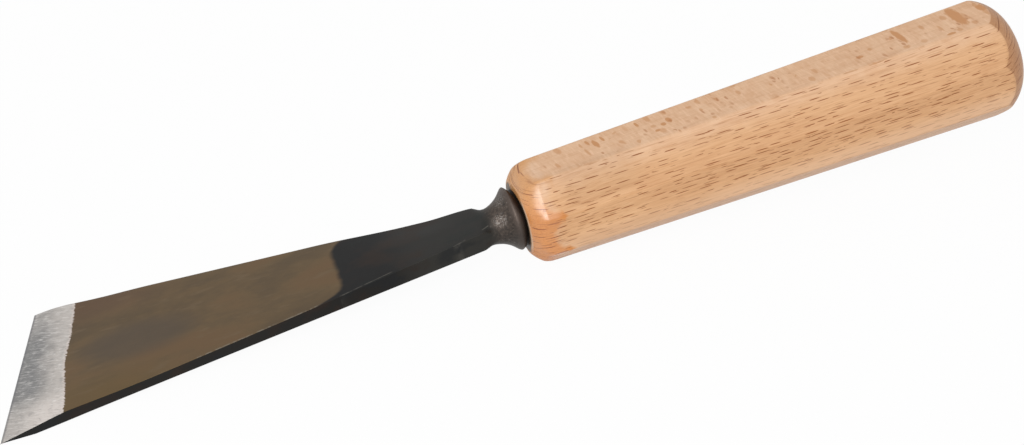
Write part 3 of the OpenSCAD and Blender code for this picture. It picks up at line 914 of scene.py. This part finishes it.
def steel_finish(s):
    """Forged steel: black scale at the neck and down the flanks, tempered brown over the blade, ground bright
    at the edge with a ragged line where the grinding stopped, and worn grey on the bolster."""
    material, shader, p = finish("blade_steel")
    x, y, z = p.parts()
    level = leaning(p, TOOL_AXES[2])
    above = level.step(-0.05, 0.05)
    flank = level.math("ABSOLUTE").step(0.75, 0.5)

    # ground bevel, above and on the back, with wavy marks square to the edge
    marks = p.shifted((0.5, 0.5, 0.5), 2.0, (1.2, 1.2, 0)).turned(GRIND_ANGLE)
    teeth = (marks.noise((0.3, 2.8, 0.3), 3.0, 0.6) - 0.5) * 1.8
    wave = ((y - WAVE_START) * (2 * math.pi / WAVE_LENGTH)).math("COSINE") * GRIND_WAVE
    from_grind = GRIND_AT + GRIND_TILT * y + GRIND_BOW * y * y + wave + teeth - x
    from_back = BACK_GRIND_AT + math.tan(s.skew) * y + teeth - x
    ground = (from_grind.step(-0.1, 0.1) * above + from_back.step(-0.1, 0.1) * (1 - above)) * (1 - flank)
    cloud = p.noise((0.07, 0.07, 0.07), 2.0)
    # painted reflection: the bevel is painted greyer towards the edge in its middle, and paler near the point
    # and along the grind line
    middle = (1 - y.step(-7, -18) * 0.85) * (1 - y.step(8, 19) * 0.45)
    reflection_grey_mask = (from_grind + cloud * 8 - 4).step(0.5, 9.5) * middle
    point_reflection = y.step(-9, -19) * from_grind.step(13, 5)
    streak = marks.noise((0.38, 3.2, 1.0), 4.0, 0.72)
    mottle = p.noise((0.5, 0.7, 0.5), 3.0, 0.6)
    honed = (x - HONED_FROM[0]) * math.cos(s.skew) - (y - HONED_FROM[1]) * math.sin(s.skew)
    bright = mixed(reflection_grey_mask, shade(s.bright), shade(s.reflected_grey))
    bright = bright.tint(point_reflection * 0.85, shade(s.bright, 1.36, 1.34, 1.34))
    bright = bright.tint(from_grind.step(0.9, 0.2) * 0.5, shade(s.bright, 1.35, 1.24, 1.2))
    bright = bright.tint(streak.step(0.5, 0.75) * 0.65, SCRATCH_PALE)
    bright = bright.tint(streak.step(0.46, 0.25) * 0.6, SCRATCH_DARK)
    bright = bright.tint(mottle.step(0.52, 0.72) * 0.25, MOTTLE_PALE)
    bright = bright.tint(mottle.step(0.46, 0.3) * 0.25, MOTTLE_DARK)
    bright = bright.tint(honed.step(0.45, 0.15) * 0.5, HONED_DARK)

    # tempered brown, clouded olive, grey and reddish, with pale wisps, and a painted highlight along the near
    # edge
    drawn = p.noise((0.05, 0.10, 0.10), 4.0, 0.62).step(0.35, 0.65)
    reddish = p.noise((0.05, 0.1, 0.1), 2.0).step(0.5, 0.7)
    wisp = p.noise((0.11, 0.42, 0.42), 4.0, 0.6).step(0.56, 0.74)
    cool_middle = oval((x + 99, y + 2), (17, 8)).step(1.2, 0.1)
    face_edge_highlight = stroke(p, *FACE_EDGE_HIGHLIGHT) * mottle.step(0.38, 0.56)
    temper = mixed(drawn, shade(s.temper, 0.83, 0.85, 0.90), shade(s.temper, 1.12, 1.09, 1.02))
    temper = temper.tint(reddish * 0.45, shade(s.temper, 1.1, 0.93, 0.9))
    temper = temper.tint(y.step(-8, -18) * x.step(-88, -108) * 0.7, shade(s.temper, 1.06, 1.0, 0.8))
    temper = temper.tint(y.step(7, 17) * x.step(-80, -104) * 0.7, shade(s.temper, 0.98, 0.85, 0.92))
    temper = temper.tint(wisp * 0.5, shade(s.temper, 1.22, 1.24, 1.3))
    temper = temper.tint(cool_middle * 0.75, shade(s.temper, 0.76, 0.84, 1.06))
    temper = temper.tint(face_edge_highlight * 0.75, FACE_HIGHLIGHT)

    # black scale towards the neck and on the flanks, lighter close to the bolster
    smoke = p.noise((0.07, 0.12, 0.12), 3.0, 0.6)
    near_neck = (x + smoke * 8).step(-34, -22)
    wander = (p.noise((0.1, 0.25, 0.1), 2.0) - 0.5) * 2.0
    dark = (x - DARK_FROM - y * y * y * y * y * DARK_BEND + wander).step(-0.9, 0.9) * x.step(-62, -55)
    black = mixed(near_neck, shade(s.scale_black, 0.82, 0.84, 0.87), shade(s.scale_black, 1.25, 1.25, 1.22))
    black = black.tint(smoke.step(0.48, 0.7) * 0.6, shade(s.scale_black, 1.45, 1.1, 0.95))
    black = black.tint(smoke.step(0.45, 0.3) * 0.5, shade(s.scale_black, 0.85, 1.05, 1.05))
    sides = mixed(near_neck, shade(s.scale_black, 0.9, 0.88, 0.85), shade(s.scale_black, 1.5, 1.5, 1.42))
    sides = sides.tint(smoke.step(0.5, 0.64) * 0.6, shade(s.scale_black, 1.35, 0.95, 0.8))
    sides = sides.tint(smoke.step(0.47, 0.36) * 0.6, shade(s.scale_black, 0.8, 0.9, 1.0))
    base = temper.tint(dark, black).tint(flank, sides).tint(ground, bright)

    # worn grey bolster with bright specks, paler towards its rim, with painted glints, and painted shade low
    # down and at the back of its rim
    worn = x.step(-9.5, -5.5)
    speck = p.noise((1.4, 1.4, 1.4), 4.0, 0.75)
    glint = p.noise((3.2, 3.2, 3.2), 3.0, 0.7)
    raised = y * HIGH_Y + z * HIGH_Z
    grey = mixed(speck.step(0.35, 0.62), shade(s.bolster, 0.8, 0.82, 0.85), shade(s.bolster, 1.4, 1.34, 1.32))
    grey = grey.tint(x.step(-3.4, -2.2) * 0.75, shade(s.bolster, 1.5, 1.42, 1.43))
    grey = grey.tint(speck.step(0.6, 0.74) * x.step(-1.6, -3) * 0.8, BOLSTER_SPECK)
    # painted highlights: glinting specks at two places on the bolster
    for place in BOLSTER_GLINT_PLACES:
        close = p.vector("DISTANCE", place, "Value").step(2.6, 0.6)
        grey = grey.tint(close * glint.step(0.48, 0.66) * 0.5, BOLSTER_GLINT)
    grey = grey.tint(raised.step(0, -5), BOLSTER_LOW_SHADE, "MULTIPLY")
    grey = grey.tint(x.step(-1.9, -0.3) * 0.75, RIM_BACK_SHADE, "MULTIPLY")
    base = base.tint(worn, grey)

    # painted highlights along the neck's near edge
    for line in NECK_EDGE_HIGHLIGHTS:
        base = base.tint(stroke(p, *line) * above * mottle.step(0.35, 0.6) * 0.6, NECK_HIGHLIGHT)

    height = streak * ground + smoke * dark * 0.5 + speck * worn * 1.5
    feed(shader, Base_Color=base, Metallic=1.0, Roughness=0.42 - ground * 0.08 + smoke * dark * 0.15,
         Normal=height.bump(GRAIN_DEPTH))
    return material


def ring_finish(s):
    """Near-black turned steel with fine tool marks round it; its darkness is painted shade for the gap it
    sits in.
    """
    material, shader, p = finish("ferrule_steel")
    marks = p.noise((9.0, 0.15, 0.15), 2.0)
    base = mixed(marks.step(0.35, 0.65), shade(s.steel), shade(s.steel, 1.5, 1.45, 1.4))
    feed(shader, Base_Color=base, Metallic=1.0, Roughness=marks * 0.2 + 0.4, Normal=marks.bump(MARK_DEPTH))
    return material


# Stage

def plainly_seen(start):
    """1 for rays from the camera and for reflected and transmitted ones, which see the background plain."""
    seen = path = start.node("ShaderNodeLightPath", out="Is Camera Ray")
    for kind in ("Is Glossy Ray", "Is Transmission Ray"):
        seen = seen.math("MAXIMUM", path.other(kind))
    return seen


def set_floor(scene):
    """A plain pale floor at z = 0, near white to the camera, that keeps part of the tool's shadow."""
    corners = np.array([[-1, -1, 0], [1, -1, 0], [1, 1, 0], [-1, 1, 0]]) * FLOOR_REACH
    mesh = bpy.data.meshes.new("floor")
    mesh.from_pydata(corners, [], [(0, 1, 2, 3)])
    floor = bpy.data.objects.new("floor", mesh)
    scene.collection.objects.link(floor)
    material = bpy.data.materials.new("floor_white")
    material.use_nodes = True
    tree = material.node_tree
    tree.nodes.clear()
    start = Wire(tree)
    plain = start.node("ShaderNodeBsdfDiffuse", None, {"Color": (0.9, 0.9, 0.9, 1)})
    white = start.node("ShaderNodeEmission", None, {"Color": (1, 1, 1, 1), "Strength": 1.0})
    shares = {0: plainly_seen(start) * FLOOR_WHITE, 1: plain, 2: white}
    both = start.node("ShaderNodeMixShader", None, shares)
    tree.links.new(both.socket, tree.nodes.new("ShaderNodeOutputMaterial").inputs["Surface"])
    mesh.materials.append(material)


def area_light(scene, name, sides, power):
    """A rectangular light of the given sides and power, still at the origin."""
    lamp = bpy.data.lights.new(name, "AREA")
    lamp.shape = "RECTANGLE"
    lamp.size, lamp.size_y = sides
    lamp.energy = power
    light = bpy.data.objects.new(name, lamp)
    scene.collection.objects.link(light)
    return light


def set_light(scene, s):
    """Even light from all round, a large one above the near side and a small one from the blade's side."""
    world = bpy.data.worlds.new("studio")
    scene.world = world
    world.use_nodes = True
    strength = plainly_seen(Wire(world.node_tree)) * (1 - s.room) + s.room
    feed(world.node_tree.nodes["Background"], Color=(1, 1, 1, 1), Strength=strength)
    key = area_light(scene, "key", KEY_SIZE, s.key)
    key.location = KEY_PLACE
    key.rotation_euler = (-Vector(key.location)).to_track_quat("-Z", "Y").to_euler()
    # the side light faces the tool, its shorter sides leaning along the given line
    side = area_light(scene, "side", SIDE_SIZE, s.side)
    away = Vector(SIDE_TOWARDS).normalized()
    along = Vector(SIDE_LEAN)
    along = (along - away * along.dot(away)).normalized()
    turn = Matrix((along.cross(away), along, away)).transposed().to_4x4()
    turn.translation = away * SIDE_AWAY
    side.matrix_world = turn


def set_camera(scene, s):
    """A camera turned about the tool by azimuth, elevation and roll: its back looks out at the azimuth and
    elevation, and its right and up turn about that by the roll."""
    lens = bpy.data.cameras.new("camera")
    lens.sensor_width = SENSOR_WIDTH
    lens.sensor_fit = "HORIZONTAL"
    lens.lens = s.focal * lens.sensor_width / IMAGE_WIDTH
    lens.clip_start = CLIP_START
    camera = bpy.data.objects.new("camera", lens)
    scene.collection.objects.link(camera)
    level = Vector((math.cos(s.azimuth), math.sin(s.azimuth), 0))
    flat = math.cos(s.elevation)
    away = Vector((math.sin(s.azimuth) * flat, -math.cos(s.azimuth) * flat, math.sin(s.elevation)))
    raised = away.cross(level)
    right = math.cos(s.roll) * level + math.sin(s.roll) * raised
    up = -math.sin(s.roll) * level + math.cos(s.roll) * raised
    turn = Matrix((np.array([right, up, away]) @ TOOL_AXES).tolist()).transposed().to_4x4()
    turn.translation = Vector(to_row(np.array(s.place)).tolist())
    camera.matrix_world = turn
    scene.camera = camera


# Operators

def show(piece, material, node):
    """Gives a piece its finish and stands it in for a CAD node on the tool's one body."""
    piece.data.materials.append(material)
    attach(piece, "root")
    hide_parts(node)


class CHISEL_OT_handle(bpy.types.Operator):
    """Build the octagonal beech handle"""

    bl_idname = "chisel.handle"
    bl_label = "Beech Handle"

    def execute(self, context):
        s = context.scene.chisel_handle
        show(closed_rings("beech_handle", handle_rings(s)), beech_finish(s), "handle")
        return {"FINISHED"}


class CHISEL_OT_blade(bpy.types.Operator):
    """Build the forged blade with its bolster and tang"""

    bl_idname = "chisel.blade"
    bl_label = "Forged Blade"

    def execute(self, context):
        s = context.scene.chisel_blade
        forging = closed_rings("forged_blade", blade_rings(s), start="edge")
        show(forging, steel_finish(s), "blade")
        return {"FINISHED"}


class CHISEL_OT_ferrule(bpy.types.Operator):
    """Build the steel ferrule in the handle's front end"""

    bl_idname = "chisel.ferrule"
    bl_label = "Steel Ferrule"

    def execute(self, context):
        s = context.scene.chisel_ferrule
        ring = closed_rings("steel_ferrule", ferrule_rings(s), start="loop")
        show(ring, ring_finish(s), "ferrule")
        return {"FINISHED"}


class CHISEL_OT_stage(bpy.types.Operator):
    """Set the floor, the lights and the camera"""

    bl_idname = "chisel.stage"
    bl_label = "Stage"

    def execute(self, context):
        s = context.scene.chisel_stage
        set_floor(context.scene)
        set_light(context.scene, s)
        set_camera(context.scene, s)
        context.scene.view_settings.view_transform = "Standard"
        return {"FINISHED"}


class CHISEL_PT_panel(bpy.types.Panel):
    """Lists the chisel's pieces and their settings"""

    bl_idname = "CHISEL_PT_panel"
    bl_label = "Carving Chisel"
    bl_space_type = "VIEW_3D"
    bl_region_type = "UI"
    bl_category = "Chisel"

    def draw(self, context):
        for operator in OPERATORS:
            self.layout.operator(operator.bl_idname)
        for name in GROUPS:
            group = getattr(context.scene, name)
            column = self.layout.column(align=True)
            for setting in group.__annotations__:
                column.prop(group, setting)


GROUPS = {
    "chisel_handle": ChiselHandleSettings,
    "chisel_blade": ChiselBladeSettings,
    "chisel_ferrule": ChiselFerruleSettings,
    "chisel_stage": ChiselStageSettings,
}
OPERATORS = (CHISEL_OT_handle, CHISEL_OT_blade, CHISEL_OT_ferrule, CHISEL_OT_stage)
CLASSES = (*GROUPS.values(), *OPERATORS, CHISEL_PT_panel)


def register():
    for cls in CLASSES:
        bpy.utils.register_class(cls)
    for name, group in GROUPS.items():
        setattr(bpy.types.Scene, name, PointerProperty(type=group))


def unregister():
    for name in GROUPS:
        delattr(bpy.types.Scene, name)
    for cls in reversed(CLASSES):
        bpy.utils.unregister_class(cls)


def main():
    register()
    bpy.ops.chisel.handle()
    bpy.ops.chisel.blade()
    bpy.ops.chisel.ferrule()
    bpy.ops.chisel.stage()


if __name__ == "__main__":
    main()
